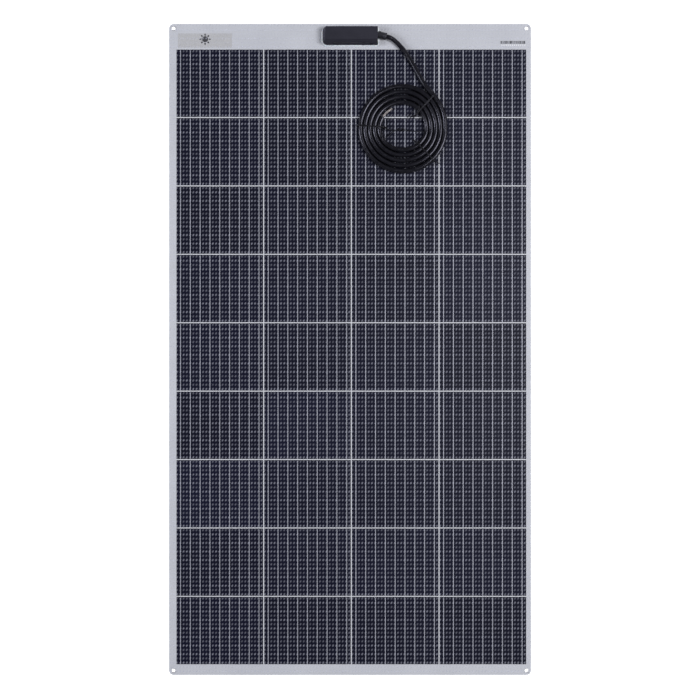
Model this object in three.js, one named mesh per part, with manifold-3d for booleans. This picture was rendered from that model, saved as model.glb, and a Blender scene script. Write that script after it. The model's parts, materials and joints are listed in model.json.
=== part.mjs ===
// Flexible solar sheet: a bendable laminate of 36 cells with a flat junction box and its cable.
// Millimetres. The sheet lies flat with its front up: +Z out of the front, +Y towards the junction box,
// origin at the centre of the underside.
import * as THREE from "three";
import { mergeVertices } from "three/addons/utils/BufferGeometryUtils.js";
import Module from "manifold-3d";

const wasm = await Module();
wasm.setup();

// Modelling: how many flats stand for a curve, and how far a cutting tool reaches past the face that it cuts
const WELD_DISTANCE = 1e-4;
const CUT_PAST = 1;
const ROUND_SIDES = 32;
const COIL_SIDES = 48;
const DIODE_SIDES = 20;
const TUBE_SIDES = 10;
const CORNER_STEPS = 8;
const TIE_CORNER_STEPS = 3;

// Sheet
const SHEET_WIDTH = 695;
const SHEET_LENGTH = 1250;
const CORNER_RADIUS = 9;
const BACKING_THICKNESS = 2.2;
const FILM_THICKNESS = 0.3;
const LAYER_GAP = 0.1;
const FILM_BOTTOM = BACKING_THICKNESS + LAYER_GAP;
const FRONT = FILM_BOTTOM + FILM_THICKNESS;
const STRIP_GAP = 0.3;

// Cells
const ROWS = 9;
const COLUMNS = 4;
const CELL_WIDTH = 166;
const CELL_LENGTH = 129.3;
const CELL_THICKNESS = 0.25;
const COLUMN_GAP = 2.3;
const ROW_GAP = 2;
const LEFT_MARGIN = 14.5;
const TOP_MARGIN = 49.6;
const POCKET_CLEARANCE = 0.2;
const FLAT_ROWS = 2;

// Eyelets
const EYELET_INSET_X = 9;
const EYELET_INSET_Y = 9;
const EYELET_BORE_RADIUS = 3.1;
const EYELET_BARREL_RADIUS = 3.6;
const EYELET_FLANGE_RADIUS = 4.8;
const EYELET_FLANGE = 0.5;
const EYELET_CLEARANCE = 0.3;
const EYELET_CHAMFER = 0.3;

// Junction box
const BOX_CENTRE = { x: 0.4, y: 600 };
const BOX_LENGTH = 105.6;
const BOX_WIDTH = 34;
const BOX_BOTTOM = FRONT + LAYER_GAP;
const BOX_HEIGHT = 16.5;
const BOX_TOP = BOX_BOTTOM + BOX_HEIGHT;
const BOX_WALL = 2;
const BOX_FLOOR = 1.6;
const BOX_ROUND_END_RADIUS = 9;
const BOX_SQUARE_END_RADIUS = 2;
const BOX_INSIDE_RADIUS = 0.5;
const LID_SPLIT = 17;
const PART_GAP = 0.3;
const LIP_DEPTH = 2.4;
const LIP_WALL = 1.4;
const SLOPE_RUN = 9.5;
const SLOPE_DROP = 6.5;
const END_SLOPE_RUN = 6;
const END_SLOPE_DROP = 3.2;
const SLOT_FROM = 0.2;
const SLOT_TO = 0.9;
const SLOT_DEPTH = 3.8;
const SLOT_FLOOR = 4.5;
const INNER_WALL_AT_SLOT = 7;

// Strain relief and cable
const CABLE_RADIUS = 4.5;
const GLAND = { y: 603, z: 10.4 };
const GLAND_HOLE_RADIUS = 5.7;
const GLAND_NECK_RADIUS = 5.4;
const GLAND_NECK_LENGTH = 6;
const GLAND_NECK_OUT = 2.5;
const GLAND_ROOT_RADIUS = 7.2;
const GLAND_END_RADIUS = 7;
const GLAND_LENGTH = 17;
const GLAND_TILT = THREE.MathUtils.degToRad(-14.5);
const COIL_CENTRE = { x: 101.2, y: 422.8 };
const COIL_INNER_RADIUS = 37;
const COIL_OUTER_RADIUS = 85.9;
const TIE_THICKNESS = 1.6;
const TIE_WIDTH = 1.8;
const COIL_BOTTOM = FRONT + LAYER_GAP + TIE_THICKNESS + PART_GAP;
const COIL_HEIGHT = 2 * CABLE_RADIUS;

// The cable's centreline from the strain relief to the coil, after the straight start out of the strain relief.
const LEAD_POINTS = [
  [84.0, 592.4, 9.2],
  [94.6, 582.4, 8.0],
  [105.7, 569.4, 7.4],
  [119.9, 547.0, 7.4],
  [133.8, 521.7, 8.2],
  [145.4, 503.0, 9.1],
];
const LEAD_STRAIGHT = 6;
const LEAD_STEPS = 12;

// Angles round the coil, anticlockwise from +X, where a tie holds it.
const TIES = { tie_left: 176, tie_upper_right: 47, tie_lower_right: -46 };

const material = (color, roughness, metalness) =>
  new THREE.MeshStandardMaterial({ color, roughness, metalness });
const backingMaterial = () => material(0xe4e6ec, 0.6, 0);
const cellMaterial = () => material(0x1b2138, 0.35, 0.1);
const boxMaterial = () => material(0x303036, 0.55, 0);
const cableMaterial = () => material(0x1d1d22, 0.5, 0);
const metalMaterial = () => material(0xc9ccd2, 0.3, 1);

// A closed three.js geometry as a manifold-3d solid.
function solidOf(geometry) {
  const bare = geometry.clone();
  bare.deleteAttribute("normal");
  bare.deleteAttribute("uv");
  const merged = mergeVertices(bare, WELD_DISTANCE);
  const mesh = new wasm.Mesh({
    numProp: 3,
    vertProperties: Float32Array.from(merged.attributes.position.array),
    triVerts: Uint32Array.from(merged.index.array),
  });
  return new wasm.Manifold(mesh);
}

function geometryOf(solid) {
  const mesh = solid.getMesh();
  const geometry = new THREE.BufferGeometry();
  geometry.setAttribute("position", new THREE.BufferAttribute(mesh.vertProperties, 3));
  geometry.setIndex(new THREE.BufferAttribute(mesh.triVerts, 1));
  geometry.computeVertexNormals();
  return geometry;
}

function cut(geometry, tools) {
  const solid = tools.reduce((left, tool) => left.subtract(solidOf(tool)), solidOf(geometry));
  return geometryOf(solid);
}

// A box from its lowest to its highest corner.
function boxBetween([x0, y0, z0], [x1, y1, z1]) {
  const box = new THREE.BoxGeometry(x1 - x0, y1 - y0, z1 - z0);
  return box.translate((x0 + x1) / 2, (y0 + y1) / 2, (z0 + z1) / 2);
}

// A rectangle with its own radius at each corner: lower left, lower right, upper right, upper left.
function roundedOutline(x0, y0, x1, y1, [lowLeft, lowRight, highRight, highLeft]) {
  const outline = new THREE.Shape();
  outline.moveTo(x0 + lowLeft, y0);
  outline.lineTo(x1 - lowRight, y0);
  if (lowRight) outline.absarc(x1 - lowRight, y0 + lowRight, lowRight, -Math.PI / 2, 0);
  outline.lineTo(x1, y1 - highRight);
  if (highRight) outline.absarc(x1 - highRight, y1 - highRight, highRight, 0, Math.PI / 2);
  outline.lineTo(x0 + highLeft, y1);
  if (highLeft) outline.absarc(x0 + highLeft, y1 - highLeft, highLeft, Math.PI / 2, Math.PI);
  outline.lineTo(x0, y0 + lowLeft);
  if (lowLeft) outline.absarc(x0 + lowLeft, y0 + lowLeft, lowLeft, Math.PI, 1.5 * Math.PI);
  return outline;
}

function plate(outline, bottom, thickness) {
  const options = { depth: thickness, bevelEnabled: false, curveSegments: CORNER_STEPS };
  return new THREE.ExtrudeGeometry(outline, options).translate(0, 0, bottom);
}

function roundRod(radius, x, y, bottom, top) {
  const rod = new THREE.CylinderGeometry(radius, radius, top - bottom, ROUND_SIDES);
  return rod.rotateX(Math.PI / 2).translate(x, y, (bottom + top) / 2);
}

const named = (name, geometry, look) => {
  const mesh = new THREE.Mesh(geometry, look);
  mesh.name = name;
  return mesh;
};

const rowTop = (row) => SHEET_LENGTH / 2 - TOP_MARGIN - (row - 1) * (CELL_LENGTH + ROW_GAP);
const rowBottom = (row) => rowTop(row) - CELL_LENGTH;
const columnLeft = (column) =>
  -SHEET_WIDTH / 2 + LEFT_MARGIN + (column - 1) * (CELL_WIDTH + COLUMN_GAP);
const hingeLine = (rowAbove) => rowBottom(rowAbove) - ROW_GAP / 2;

const eyeletX = SHEET_WIDTH / 2 - EYELET_INSET_X;
const eyeletY = SHEET_LENGTH / 2 - EYELET_INSET_Y;
const EYELETS = {
  eyelet_top_left: [-eyeletX, eyeletY],
  eyelet_top_right: [eyeletX, eyeletY],
  eyelet_bottom_left: [-eyeletX, -eyeletY],
  eyelet_bottom_right: [eyeletX, -eyeletY],
};

// The pocket that one cell lies in, open at the top of the backing.
function cellPocket(row, column) {
  const x = columnLeft(column);
  const floor = BACKING_THICKNESS - LAYER_GAP - CELL_THICKNESS - LAYER_GAP;
  return boxBetween(
    [x - POCKET_CLEARANCE, rowBottom(row) - POCKET_CLEARANCE, floor],
    [x + CELL_WIDTH + POCKET_CLEARANCE, rowTop(row) + POCKET_CLEARANCE, BACKING_THICKNESS + CUT_PAST],
  );
}

// The hole for an eyelet's barrel, and the recess that its back flange lies in.
function eyeletCuts([x, y]) {
  const holeRadius = EYELET_BARREL_RADIUS + EYELET_CLEARANCE;
  const recessRadius = EYELET_FLANGE_RADIUS + EYELET_CLEARANCE;
  return [
    roundRod(holeRadius, x, y, -CUT_PAST, FRONT + CUT_PAST),
    roundRod(recessRadius, x, y, -CUT_PAST, EYELET_FLANGE + EYELET_CLEARANCE),
  ];
}

// One strip of the laminate, from the row firstRow to the row lastRow, with the cells' pockets.
function laminateStrip(firstRow, lastRow) {
  const first = firstRow === 1;
  const last = lastRow === ROWS;
  const top = first ? SHEET_LENGTH / 2 : hingeLine(firstRow - 1) - STRIP_GAP / 2;
  const bottom = last ? -SHEET_LENGTH / 2 : hingeLine(lastRow) + STRIP_GAP / 2;
  const low = last ? CORNER_RADIUS : 0;
  const high = first ? CORNER_RADIUS : 0;
  const outline = roundedOutline(-SHEET_WIDTH / 2, bottom, SHEET_WIDTH / 2, top, [low, low, high, high]);
  const tools = [];
  for (let row = firstRow; row <= lastRow; row += 1) {
    for (let column = 1; column <= COLUMNS; column += 1) {
      tools.push(cellPocket(row, column));
    }
  }
  for (const place of Object.values(EYELETS)) {
    if (place[1] < top && place[1] > bottom) {
      tools.push(...eyeletCuts(place));
    }
  }
  return cut(plate(outline, 0, BACKING_THICKNESS), tools);
}

function cell(row, column) {
  const x = columnLeft(column);
  const top = BACKING_THICKNESS - LAYER_GAP;
  return boxBetween([x, rowBottom(row), top - CELL_THICKNESS], [x + CELL_WIDTH, rowTop(row), top]);
}

// The clear front film: one whole skin over all the strips.
function frontFilm() {
  const radii = Array(4).fill(CORNER_RADIUS);
  const [x, y] = [SHEET_WIDTH / 2, SHEET_LENGTH / 2];
  const outline = roundedOutline(-x, -y, x, y, radii);
  const holeRadius = EYELET_BARREL_RADIUS + EYELET_CLEARANCE;
  for (const [holeX, holeY] of Object.values(EYELETS)) {
    outline.holes.push(new THREE.Path().absarc(holeX, holeY, holeRadius, 0, 2 * Math.PI, true));
  }
  return plate(outline, FILM_BOTTOM, FILM_THICKNESS);
}

// A rivet eyelet: a barrel through the sheet with a flange on each side.
function eyelet() {
  const bore = EYELET_BORE_RADIUS;
  const barrel = EYELET_BARREL_RADIUS;
  const flange = EYELET_FLANGE_RADIUS;
  const front = FRONT + LAYER_GAP;
  const profile = [
    [bore, 0],
    [flange, 0],
    [flange, EYELET_FLANGE],
    [barrel, EYELET_FLANGE],
    [barrel, front],
    [flange, front],
    [flange - EYELET_CHAMFER, front + EYELET_FLANGE],
    [bore, front + EYELET_FLANGE],
    [bore, 0],
  ];
  const points = profile.map(([radius, height]) => new THREE.Vector2(radius, height));
  return new THREE.LatheGeometry(points, ROUND_SIDES).rotateX(Math.PI / 2);
}

const boxLeft = BOX_CENTRE.x - BOX_LENGTH / 2;
const boxRight = BOX_CENTRE.x + BOX_LENGTH / 2;
const boxLow = BOX_CENTRE.y - BOX_WIDTH / 2;
const boxHigh = BOX_CENTRE.y + BOX_WIDTH / 2;
const boxRadii = [BOX_ROUND_END_RADIUS, BOX_SQUARE_END_RADIUS, BOX_SQUARE_END_RADIUS, BOX_ROUND_END_RADIUS];

// The hollow of the box, grown by a gap when negative or shrunk by it when positive.
function boxInside(gap, bottom, top) {
  const inset = BOX_WALL + gap;
  const radii = boxRadii.map((radius) => Math.max(radius - inset, BOX_INSIDE_RADIUS));
  const low = boxLow + INNER_WALL_AT_SLOT + gap;
  const outline = roundedOutline(boxLeft + inset, low, boxRight - inset, boxHigh - inset, radii);
  return plate(outline, bottom, top - bottom);
}

// The recess along the lower side that a screwdriver lifts the lid by.
function prySlot(top) {
  const from = boxLeft + SLOT_FROM * BOX_LENGTH;
  const to = boxLeft + SLOT_TO * BOX_LENGTH;
  return boxBetween([from, boxLow - CUT_PAST, SLOT_FLOOR], [to, boxLow + SLOT_DEPTH, top]);
}

// Everything above a plane that falls away to one side of the box, as a block to cut with.
function slopeCutter(run, drop) {
  const long = 2 * BOX_LENGTH;
  const block = new THREE.BoxGeometry(long, long, long).translate(-long / 2, 0, long / 2);
  return block.rotateY(-Math.atan2(drop, run));
}

function boxBlock(bottom, top) {
  const outline = roundedOutline(boxLeft, boxLow, boxRight, boxHigh, boxRadii);
  return plate(outline, bottom, top - bottom);
}

// The slopes that run down from the flat top to the round end and to the slotted side.
function boxSlopes() {
  const endSlope = slopeCutter(END_SLOPE_RUN, END_SLOPE_DROP);
  const sideSlope = slopeCutter(SLOPE_RUN, SLOPE_DROP).rotateZ(Math.PI / 2);
  return [
    endSlope.translate(boxLeft + END_SLOPE_RUN, BOX_CENTRE.y, BOX_TOP),
    sideSlope.translate(BOX_CENTRE.x, boxLow + SLOPE_RUN, BOX_TOP),
  ];
}

function junctionBoxBase() {
  const hole = new THREE.CylinderGeometry(GLAND_HOLE_RADIUS, GLAND_HOLE_RADIUS, 4 * BOX_WALL, ROUND_SIDES);
  hole.rotateZ(Math.PI / 2).translate(boxRight, GLAND.y, GLAND.z);
  return cut(boxBlock(BOX_BOTTOM, LID_SPLIT), [
    boxInside(0, BOX_BOTTOM + BOX_FLOOR, BOX_TOP),
    prySlot(BOX_TOP),
    hole,
    ...boxSlopes(),
  ]);
}

// The lid: a cap with sloping edges and a lip that drops inside the base's walls.
function junctionBoxLid() {
  const lipBottom = LID_SPLIT - LIP_DEPTH;
  const cap = solidOf(boxBlock(LID_SPLIT + PART_GAP, BOX_TOP));
  const lip = solidOf(boxInside(PART_GAP, lipBottom, LID_SPLIT + PART_GAP));
  const hollow = solidOf(boxInside(PART_GAP + LIP_WALL, lipBottom - CUT_PAST, LID_SPLIT + PART_GAP));
  const ring = lip.subtract(hollow);
  const glandSpace = boxBetween(
    [boxRight - 3 * BOX_WALL - GLAND_NECK_RADIUS, GLAND.y - GLAND_ROOT_RADIUS, lipBottom - CUT_PAST],
    [boxRight, GLAND.y + GLAND_ROOT_RADIUS, LID_SPLIT + PART_GAP],
  );
  const whole = cap.add(ring.subtract(solidOf(glandSpace)));
  return geometryOf([prySlot(BOX_TOP + CUT_PAST), ...boxSlopes()].reduce(
    (left, tool) => left.subtract(solidOf(tool)),
    whole,
  ));
}

const TERMINAL = { width: 16, depth: 12, thickness: 0.8, height: 5, y: 603 };
const trayFloor = BOX_BOTTOM + BOX_FLOOR;

// A tinned terminal plate with an upturned tab, standing on the tray's floor.
function terminal(x) {
  const bottom = trayFloor + PART_GAP;
  const left = x - TERMINAL.width / 2;
  const front = TERMINAL.y - TERMINAL.depth / 2;
  const foot = boxBetween(
    [left, front, bottom],
    [left + TERMINAL.width, front + TERMINAL.depth, bottom + TERMINAL.thickness],
  );
  const tab = boxBetween(
    [left, front + TERMINAL.depth - TERMINAL.thickness, bottom],
    [left + TERMINAL.width, front + TERMINAL.depth, bottom + TERMINAL.height],
  );
  return geometryOf(solidOf(foot).add(solidOf(tab)));
}

const TERMINAL_PLUS_X = 26;
const TERMINAL_MINUS_X = -24;
const DIODE = { bodyRadius: 2.7, bodyLength: 9.5, leadRadius: 0.65, span: 46, y: 603, z: 7.6 };

// An axial diode: a moulded body on one straight wire.
function bypassDiode() {
  const half = DIODE.bodyLength / 2;
  const profile = [
    [0, -DIODE.span / 2],
    [DIODE.leadRadius, -DIODE.span / 2],
    [DIODE.leadRadius, -half],
    [DIODE.bodyRadius, -half],
    [DIODE.bodyRadius, half],
    [DIODE.leadRadius, half],
    [DIODE.leadRadius, DIODE.span / 2],
    [0, DIODE.span / 2],
  ];
  const points = profile.map(([radius, along]) => new THREE.Vector2(radius, along));
  return new THREE.LatheGeometry(points, DIODE_SIDES).rotateZ(-Math.PI / 2);
}

// The strain relief: a neck through the box's wall and a tapered boot that leans towards the cells.
function strainRelief() {
  const neck = new THREE.CylinderGeometry(GLAND_NECK_RADIUS, GLAND_NECK_RADIUS, GLAND_NECK_LENGTH, ROUND_SIDES);
  neck.rotateZ(Math.PI / 2).translate(boxRight + GLAND_NECK_OUT - GLAND_NECK_LENGTH / 2, GLAND.y, GLAND.z);
  const length = GLAND_LENGTH + GLAND_NECK_OUT;
  const boot = new THREE.CylinderGeometry(GLAND_END_RADIUS, GLAND_ROOT_RADIUS, length, ROUND_SIDES);
  boot.rotateZ(-Math.PI / 2).translate(GLAND_LENGTH - length / 2, 0, 0);
  boot.rotateZ(GLAND_TILT).translate(boxRight, GLAND.y, GLAND.z);
  const inside = new THREE.BoxGeometry(BOX_WIDTH, BOX_WIDTH, BOX_WIDTH);
  inside.translate(boxRight + PART_GAP - BOX_WIDTH / 2, GLAND.y, GLAND.z);
  return geometryOf(solidOf(boot).subtract(solidOf(inside)).add(solidOf(neck)));
}

// The stretch of cable that isn't coiled, as a tube along its centreline.
function cableLead() {
  const out = new THREE.Vector3(Math.cos(GLAND_TILT), Math.sin(GLAND_TILT), 0);
  const start = new THREE.Vector3(boxRight, GLAND.y, GLAND.z).addScaledVector(out, GLAND_LENGTH + PART_GAP);
  const straight = start.clone().addScaledVector(out, LEAD_STRAIGHT);
  const points = [start, straight, ...LEAD_POINTS.map((point) => new THREE.Vector3(...point))];
  const section = new THREE.Shape();
  section.absarc(0, 0, CABLE_RADIUS, 0, 2 * Math.PI);
  return new THREE.ExtrudeGeometry(section, {
    steps: LEAD_STEPS,
    curveSegments: TUBE_SIDES / 2,
    extrudePath: new THREE.CatmullRomCurve3(points),
  });
}

// The outer shape of the flat coil: a ring of square section.
function cableCoil() {
  const [inner, outer] = [COIL_INNER_RADIUS, COIL_OUTER_RADIUS];
  const corner = CABLE_RADIUS / 2;
  const top = COIL_HEIGHT;
  const profile = [
    [inner + corner, 0],
    [outer - corner, 0],
    [outer, corner],
    [outer, top - corner],
    [outer - corner, top],
    [inner + corner, top],
    [inner, top - corner],
    [inner, corner],
    [inner + corner, 0],
  ];
  const points = profile.map(([radius, height]) => new THREE.Vector2(radius, height));
  return new THREE.LatheGeometry(points, COIL_SIDES).rotateX(Math.PI / 2);
}

// A wire tie: a closed frame round the coil's section, with its opening along the cable.
function coilTie() {
  const inner = COIL_INNER_RADIUS - PART_GAP;
  const outer = COIL_OUTER_RADIUS + PART_GAP;
  const top = COIL_HEIGHT + PART_GAP;
  const wire = TIE_THICKNESS;
  const frame = roundedOutline(inner - wire, -PART_GAP - wire, outer + wire, top + wire, Array(4).fill(wire));
  const opening = roundedOutline(inner, -PART_GAP, outer, top, Array(4).fill(0));
  frame.holes.push(new THREE.Path(opening.getPoints()));
  const options = { depth: TIE_WIDTH, bevelEnabled: false, curveSegments: TIE_CORNER_STEPS };
  return new THREE.ExtrudeGeometry(frame, options).translate(0, 0, -TIE_WIDTH / 2).rotateX(Math.PI / 2);
}

function sheet() {
  const group = new THREE.Group();
  group.add(named("laminate_rows_1_2", laminateStrip(1, FLAT_ROWS), backingMaterial()));
  for (let row = FLAT_ROWS + 1; row <= ROWS; row += 1) {
    group.add(named(`laminate_row_${row}`, laminateStrip(row, row), backingMaterial()));
  }
  for (let row = 1; row <= ROWS; row += 1) {
    for (let column = 1; column <= COLUMNS; column += 1) {
      group.add(named(`cell_r${row}_c${column}`, cell(row, column), cellMaterial()));
    }
  }
  const clear = new THREE.MeshStandardMaterial({
    color: 0xf2f4fa,
    roughness: 0.25,
    metalness: 0,
    transparent: true,
    opacity: 0.2,
  });
  group.add(named("front_film", frontFilm(), clear));
  for (const [name, [x, y]] of Object.entries(EYELETS)) {
    const ring = named(name, eyelet(), metalMaterial());
    ring.position.set(x, y, 0);
    group.add(ring);
  }
  return group;
}

function junctionBox() {
  const group = new THREE.Group();
  group.add(named("junction_box_base", junctionBoxBase(), boxMaterial()));
  group.add(named("junction_box_lid", junctionBoxLid(), boxMaterial()));
  group.add(named("terminal_plus", terminal(TERMINAL_PLUS_X), metalMaterial()));
  group.add(named("terminal_minus", terminal(TERMINAL_MINUS_X), metalMaterial()));
  const diode = named("bypass_diode", bypassDiode(), cableMaterial());
  diode.position.set((TERMINAL_PLUS_X + TERMINAL_MINUS_X) / 2, DIODE.y, DIODE.z);
  group.add(diode);
  group.add(named("strain_relief", strainRelief(), cableMaterial()));
  return group;
}

function cable() {
  const group = new THREE.Group();
  group.add(named("cable_lead", cableLead(), cableMaterial()));
  const coiled = new THREE.Group();
  coiled.position.set(COIL_CENTRE.x, COIL_CENTRE.y, COIL_BOTTOM);
  coiled.add(named("cable_coil", cableCoil(), cableMaterial()));
  for (const [name, angle] of Object.entries(TIES)) {
    const tie = named(name, coilTie(), cableMaterial());
    tie.rotation.z = THREE.MathUtils.degToRad(angle);
    coiled.add(tie);
  }
  group.add(coiled);
  return group;
}

const model = new THREE.Group();
model.add(sheet(), junctionBox(), cable());

export default model;
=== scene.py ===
import json
import math
import random

import bmesh
import bpy
import numpy as np
from mathutils import Matrix, Vector


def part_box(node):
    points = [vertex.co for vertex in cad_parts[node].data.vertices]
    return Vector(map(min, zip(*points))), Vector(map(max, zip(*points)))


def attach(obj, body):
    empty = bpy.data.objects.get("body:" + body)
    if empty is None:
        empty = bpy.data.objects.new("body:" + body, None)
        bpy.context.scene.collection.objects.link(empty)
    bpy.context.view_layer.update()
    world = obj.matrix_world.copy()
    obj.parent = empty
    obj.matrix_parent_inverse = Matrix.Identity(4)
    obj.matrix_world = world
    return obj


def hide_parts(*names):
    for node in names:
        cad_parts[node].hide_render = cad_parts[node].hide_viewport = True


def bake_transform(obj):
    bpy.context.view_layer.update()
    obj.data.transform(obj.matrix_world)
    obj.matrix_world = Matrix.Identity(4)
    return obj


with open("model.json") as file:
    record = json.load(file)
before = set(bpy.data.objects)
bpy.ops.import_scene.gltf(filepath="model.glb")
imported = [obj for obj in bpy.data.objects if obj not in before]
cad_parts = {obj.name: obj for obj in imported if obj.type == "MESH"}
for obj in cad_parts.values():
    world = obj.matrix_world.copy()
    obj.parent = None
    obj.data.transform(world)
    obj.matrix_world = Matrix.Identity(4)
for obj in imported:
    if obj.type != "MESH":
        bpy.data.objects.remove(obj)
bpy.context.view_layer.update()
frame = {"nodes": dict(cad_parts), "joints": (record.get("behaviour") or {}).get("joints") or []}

MM = 0.001
RECORD_JOINTS = {joint["name"]: joint for joint in frame["joints"]}

# The sheet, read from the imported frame.
SHEET_LOW, SHEET_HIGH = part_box("front_film")
BACKING_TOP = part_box("laminate_rows_1_2")[1].z
HALF_X, HALF_Y = SHEET_HIGH.x, SHEET_HIGH.y
CORNER_RADIUS = 9 * MM
ROWS, COLUMNS = 9, 4
CELLS = {(r, c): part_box(f"cell_r{r}_c{c}") for r in range(1, ROWS + 1) for c in range(1, COLUMNS + 1)}
ROW_TOP = {r: CELLS[r, 1][1].y for r in range(1, ROWS + 1)}
ROW_BOTTOM = {r: CELLS[r, 1][0].y for r in range(1, ROWS + 1)}
ROW_MIDDLE = {r: (ROW_TOP[r] + ROW_BOTTOM[r]) / 2 for r in range(1, ROWS + 1)}
POCKET_FLOOR = CELLS[1, 1][0].z - 0.05 * MM
CELL_TOP = CELLS[1, 1][1].z

# The ribbons on each cell.
RIBBONS = 9
RIBBON_INSET = 7.64 * MM
RIBBON_WIDTH = 1.4 * MM
RIBBON_THICKNESS = 0.12 * MM
RIBBON_UNDER_CELL = 0.03 * MM
RIBBON_START = 1.5 * MM
RIBBON_DIP = 1.5 * MM

# The front film and its dimples.
FILM_FACE = SHEET_LOW.z + 0.16 * MM
FILM_COLUMNS = 446
FILM_STEP_X = 2 * HALF_X / FILM_COLUMNS
FILM_STEP_Y = (ROW_MIDDLE[2] - ROW_MIDDLE[3]) / 80
DIMPLE_COLUMNS = 4
DIMPLE_ROWS = 5
DIMPLE_PITCH_X = DIMPLE_COLUMNS * FILM_STEP_X
DIMPLE_PITCH_Y = DIMPLE_ROWS * FILM_STEP_Y
DIMPLE_HEIGHT = 0.2 * MM
DIMPLE_LONG = 1.75 * MM
DIMPLE_SHORT = 1.12 * MM
WEAK_DIMPLE = 0.62
DIMPLE_CHANCE = (0.75, 1.1)
DIMPLE_LEAN = math.radians(28)
STEP = 8 * MM

# The coil and the lead, as in the part's source.
COIL_LOW, COIL_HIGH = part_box("cable_coil")
COIL_X = (COIL_LOW.x + COIL_HIGH.x) / 2
COIL_Y = (COIL_LOW.y + COIL_HIGH.y) / 2
COIL_Z = (COIL_LOW.z + COIL_HIGH.z) / 2
CABLE_RADIUS = (COIL_HIGH.z - COIL_LOW.z) / 2
TIE_ANGLES = {"tie_left": 176, "tie_upper_right": 47, "tie_lower_right": -46}


# ---- node materials

# Where the values of a noise texture mostly lie.
NOISE_LOW, NOISE_HIGH = 0.3, 0.7


class Surface:
    """A material made of nodes round one shader, or the world round its background."""

    def __init__(self, name, shader="Principled BSDF", library="materials", **settings):
        self.material = getattr(bpy.data, library).new(name)
        self.material.use_nodes = True
        self.tree = self.material.node_tree
        self.shader = self.tree.nodes[shader]
        for socket, value in settings.items():
            self.put(self.shader, socket.replace("_", " "), value)

    def put(self, node, socket, value):
        target = node.inputs[socket]
        if isinstance(value, bpy.types.NodeSocket):
            self.tree.links.new(value, target)
        else:
            target.default_value = (*value, 1) if target.type == "RGBA" else value

    def add(self, kind, inputs=None, **settings):
        node = self.tree.nodes.new("ShaderNode" + kind)
        for key, value in settings.items():
            setattr(node, key, value)
        for socket, value in (inputs or {}).items():
            self.put(node, socket, value)
        return node

    def place(self, attribute=None):
        """Where a point is at rest: a stored attribute on the bending pieces, else object coordinates."""
        if attribute:
            return self.add("Attribute", attribute_name=attribute).outputs["Vector"]
        return self.add("TexCoord").outputs["Object"]

    def axes(self, where):
        outputs = self.add("SeparateXYZ", {"Vector": where}).outputs
        return outputs["X"], outputs["Y"], outputs["Z"]

    def noise(self, where, scale, detail=2.0, roughness=0.5):
        inputs = {"Vector": where, "Scale": scale, "Detail": detail, "Roughness": roughness}
        return self.add("TexNoise", inputs).outputs["Fac"]

    def chance(self, column, row, layer=0.0):
        """A random value for each column and row of a grid."""
        which = self.add("CombineXYZ", {"X": column, "Y": row, "Z": layer}).outputs["Vector"]
        return self.add("TexWhiteNoise", {"Vector": which}).outputs["Value"]

    def math(self, operation, *values):
        return self.add("Math", dict(enumerate(values)), operation=operation).outputs[0]

    def times(self, first, second):
        return self.math("MULTIPLY", first, second)

    def minus(self, first, second):
        return self.math("SUBTRACT", first, second)

    def over(self, first, second):
        return self.math("DIVIDE", first, second)

    def ramp(self, factor, *stops):
        """A colour ramp; each stop is (position, colour)."""
        node = self.add("ValToRGB", {"Fac": factor})
        elements = node.color_ramp.elements
        elements.remove(elements[1])
        for index, (position, colour) in enumerate(stops):
            element = elements[0] if index == 0 else elements.new(position)
            element.position = position
            element.color = (*colour, 1)
        return node.outputs["Color"]

    def tint(self, noise, dark, light, low=NOISE_LOW, high=NOISE_HIGH):
        return self.ramp(noise, (low, dark), (high, light))

    def mapped(self, value, low, high, new_low, new_high):
        inputs = {"Value": value, "From Min": low, "From Max": high, "To Min": new_low, "To Max": new_high}
        return self.add("MapRange", inputs).outputs["Result"]

    def mixed(self, factor, first, second, blend="MIX"):
        node = self.add("Mix", {"Factor": factor}, data_type="RGBA", blend_type=blend)
        sockets = [index for index, socket in enumerate(node.inputs) if socket.type == "RGBA"]
        for index, value in zip(sockets, (first, second)):
            self.put(node, index, value)
        return [socket for socket in node.outputs if socket.type == "RGBA"][0]

    def colour(self, value):
        self.put(self.shader, "Base Color", value)

    def rough(self, noise, smoothest, roughest):
        self.put(self.shader, "Roughness", self.mapped(noise, NOISE_LOW, NOISE_HIGH, smoothest, roughest))

    def bump(self, height, strength, distance):
        inputs = {"Height": height, "Strength": strength, "Distance": distance}
        self.put(self.shader, "Normal", self.add("Bump", inputs).outputs["Normal"])


PLACE = "rest_place"
THREAD_PITCH = 1.1 * MM
FINGER_PITCH = 1.45 * MM


def backing_surface():
    """White polymer laminate, smooth in front, with a glass-cloth weave on its back."""
    s = Surface("backing")
    where = s.place(PLACE)
    x, y, z = s.axes(where)
    margin = s.tint(s.noise(where, 14, 4), (0.425, 0.43, 0.465), (0.46, 0.465, 0.50))
    left, right = CELLS[1, 1][0].x, CELLS[1, COLUMNS][1].x
    bottom, top = ROW_BOTTOM[ROWS], ROW_TOP[1]
    edge = 0.5 * MM
    inside_x = s.math("COMPARE", x, (left + right) / 2, (right - left) / 2 + edge)
    inside_y = s.math("COMPARE", y, (top + bottom) / 2, (top - bottom) / 2 + edge)
    s.colour(s.mixed(s.times(inside_x, inside_y), margin, (0.51, 0.515, 0.545)))
    turns = 2 * math.pi / THREAD_PITCH
    weave = s.times(s.math("SINE", s.times(x, turns)), s.math("SINE", s.times(y, turns)))
    behind = s.mapped(z, 0.2 * MM, 0.5 * MM, 1, 0)
    fine = s.noise(where, 900, 3)
    s.bump(s.math("MULTIPLY_ADD", weave, behind, fine), 0.35, 0.12 * MM)
    s.rough(fine, 0.42, 0.6)
    return s.material


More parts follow.
